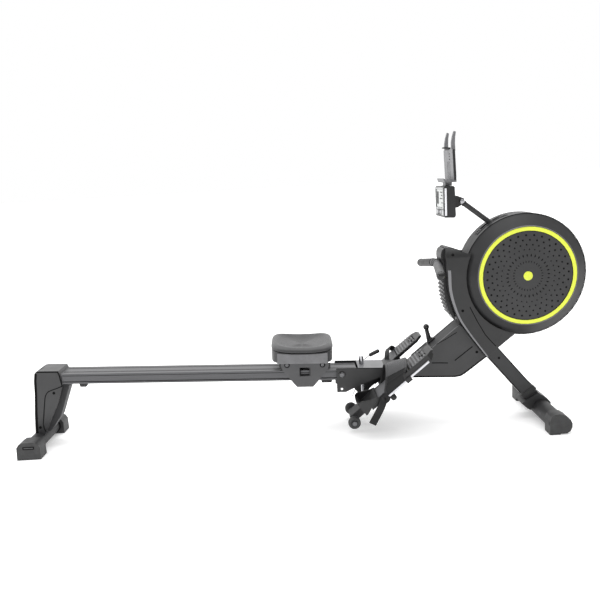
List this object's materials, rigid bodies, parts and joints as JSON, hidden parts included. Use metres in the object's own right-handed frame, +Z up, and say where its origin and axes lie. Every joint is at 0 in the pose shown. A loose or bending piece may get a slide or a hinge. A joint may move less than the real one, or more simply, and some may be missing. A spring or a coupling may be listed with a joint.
{
  "type": "rowing machine",
  "caption": "Folding air-resistance rowing machine with a sliding seat on a rail, paired pedals, a pull handle, a covered wheel and a tilting console.",
  "frame": {"origin": "on the floor under the middle of the bounding box", "axes": "+X from the rear foot towards the wheel, +Y to the far side, +Z up"},
  "size_m": [2.243, 0.457, 1.15],
  "materials": {
    "anodised": "satin anodised",
    "paint": "satin powder coat",
    "plastic": "fine texture",
    "light_plastic": "fine texture",
    "accent": "semi-gloss",
    "rubber": "matte",
    "steel": "polished",
    "webbing": "woven",
    "pad_skin": "fine grain",
    "screen": "gloss"
  },
  "bodies": {
    "frame": {"front_beam": "paint", "fold_pivot_bolt": "steel", "lock_collar": "steel", "diagonal_tube": "paint", "caster_axle": "steel", "handle_hook_post": "plastic", "front_leg_tube": "paint", "front_stabilizer_tube": "paint", "front_foot_cap_near": "rubber", "front_foot_cap_far": "rubber", "wheel_post": "paint", "wheel_axle": "steel", "drive_belt": "rubber", "housing_shell_near": "plastic", "housing_shell_far": "plastic", "accent_ring_near": "accent", "accent_ring_far": "accent", "vent_disc_near": "light_plastic", "vent_disc_far": "light_plastic", "spine_cover_near": "plastic", "spine_cover_far": "plastic", "lower_cover_near": "plastic", "lower_cover_far": "plastic", "spine_grille": "plastic", "pedal_bracket": "paint", "pedal_near": "light_plastic", "pedal_far": "light_plastic", "foot_strap_near": "webbing", "foot_strap_far": "webbing"},
    "rail_body": {"rail": "anodised", "rear_leg_tube": "paint", "rear_end_cover": "plastic", "rear_stabilizer_tube": "paint", "rear_foot_cap_near": "rubber", "rear_foot_cap_far": "rubber"},
    "seat": {"seat_carriage": "paint", "seat_base": "plastic", "seat_pad": "pad_skin"},
    "roller_front": {"upper_roller_front": "rubber"},
    "roller_rear": {"upper_roller_rear": "rubber"},
    "roller_low": {"lower_roller": "rubber"},
    "lock": {"lock_pin": "steel", "lock_grip": "rubber"},
    "caster_wheel_near": {"caster_near": "rubber"},
    "caster_wheel_far": {"caster_far": "rubber"},
    "fan": {"fan_wheel": "anodised"},
    "spool": {"strap_spool": "plastic"},
    "handle": {"handle_bar": "paint", "handle_grip_near": "rubber", "handle_grip_far": "rubber", "pull_strap": "webbing"},
    "arm": {"console_arm": "paint"},
    "console": {"console_case": "plastic", "console_display": "screen", "phone_tray": "plastic"},
    "key_near": {"console_key_near": "rubber"},
    "key_far": {"console_key_far": "rubber"},
    "clip": {"phone_clip": "rubber"},
    "heel_near": {"heel_cup_near": "plastic"},
    "heel_far": {"heel_cup_far": "plastic"}
  },
  "joints": [
    {"name": "rail_fold", "type": "hinge", "parent": "frame", "child": "rail_body", "pos_m": [0.15645, 0, 0.2364], "axis": [0, 1, 0], "range_deg": [0, 70]},
    {"name": "seat_slide", "type": "slide", "parent": "rail_body", "child": "seat", "axis": [-0.999, 0, 0.045], "range_m": [0, 0.83]},
    {"name": "upper_roller_front_spin", "type": "hinge", "parent": "seat", "child": "roller_front", "pos_m": [0.08132, 0, 0.28097], "axis": [0, 1, 0], "continuous": true},
    {"name": "upper_roller_rear_spin", "type": "hinge", "parent": "seat", "child": "roller_rear", "pos_m": [-0.05894, 0, 0.28729], "axis": [0, 1, 0], "continuous": true},
    {"name": "lower_roller_spin", "type": "hinge", "parent": "seat", "child": "roller_low", "pos_m": [0.00786, 0, 0.2057], "axis": [0, 1, 0], "continuous": true},
    {"name": "lock_pull", "type": "slide", "parent": "frame", "child": "lock", "axis": [0, 0, 1], "range_m": [0, 0.018], "stiffness_N_per_m": 600, "springref_m": -0.004},
    {"name": "caster_spin_near", "type": "hinge", "parent": "frame", "child": "caster_wheel_near", "pos_m": [0.19525, -0.086, 0.0428], "axis": [0, 1, 0], "continuous": true},
    {"name": "caster_spin_far", "type": "hinge", "parent": "frame", "child": "caster_wheel_far", "pos_m": [0.19525, 0.086, 0.0428], "axis": [0, 1, 0], "continuous": true},
    {"name": "fan_spin", "type": "hinge", "parent": "frame", "child": "fan", "pos_m": [0.88405, 0, 0.5926], "axis": [0, 1, 0], "continuous": true},
    {"name": "handle_pull", "type": "slide", "parent": "frame", "child": "handle", "axis": [1, 0, 0], "range_m": [-1.2, 0], "stiffness_N_per_m": 20, "springref_m": 0.5, "deforming": ["pull_strap"]},
    {"name": "spool_spin", "type": "hinge", "parent": "frame", "child": "spool", "pos_m": [0.61545, 0, 0.62], "axis": [0, 1, 0], "continuous": true},
    {"name": "console_arm_tilt", "type": "hinge", "parent": "frame", "child": "arm", "pos_m": [0.78345, 0, 0.783], "axis": [0, 1, 0], "range_deg": [-6, 8]},
    {"name": "console_tilt", "type": "hinge", "parent": "arm", "child": "console", "pos_m": [0.65345, 0, 0.886], "axis": [0, 1, 0], "range_deg": [-15, 25]},
    {"name": "key_press_near", "type": "slide", "parent": "console", "child": "key_near", "axis": [1, 0, 0], "range_m": [0, 0.0015], "stiffness_N_per_m": 500, "springref_m": -0.001},
    {"name": "key_press_far", "type": "slide", "parent": "console", "child": "key_far", "axis": [1, 0, 0], "range_m": [0, 0.0015], "stiffness_N_per_m": 500, "springref_m": -0.001},
    {"name": "clip_lift", "type": "slide", "parent": "console", "child": "clip", "axis": [0, 0, 1], "range_m": [0, 0.02], "stiffness_N_per_m": 60, "springref_m": -0.01},
    {"name": "heel_slide_near", "type": "slide", "parent": "frame", "child": "heel_near", "axis": [-0.7828, 0, -0.6223], "range_m": [0, 0.035]},
    {"name": "heel_slide_far", "type": "slide", "parent": "frame", "child": "heel_far", "axis": [-0.7828, 0, -0.6223], "range_m": [0, 0.035]}
  ],
  "couplings": [
    {"joint": "upper_roller_front_spin", "follows": "seat_slide", "rad_per_m": -42.553},
    {"joint": "upper_roller_rear_spin", "follows": "seat_slide", "rad_per_m": -42.553},
    {"joint": "lower_roller_spin", "follows": "seat_slide", "rad_per_m": 76.923},
    {"joint": "spool_spin", "follows": "handle_pull", "rad_per_m": 41.667}
  ]
}
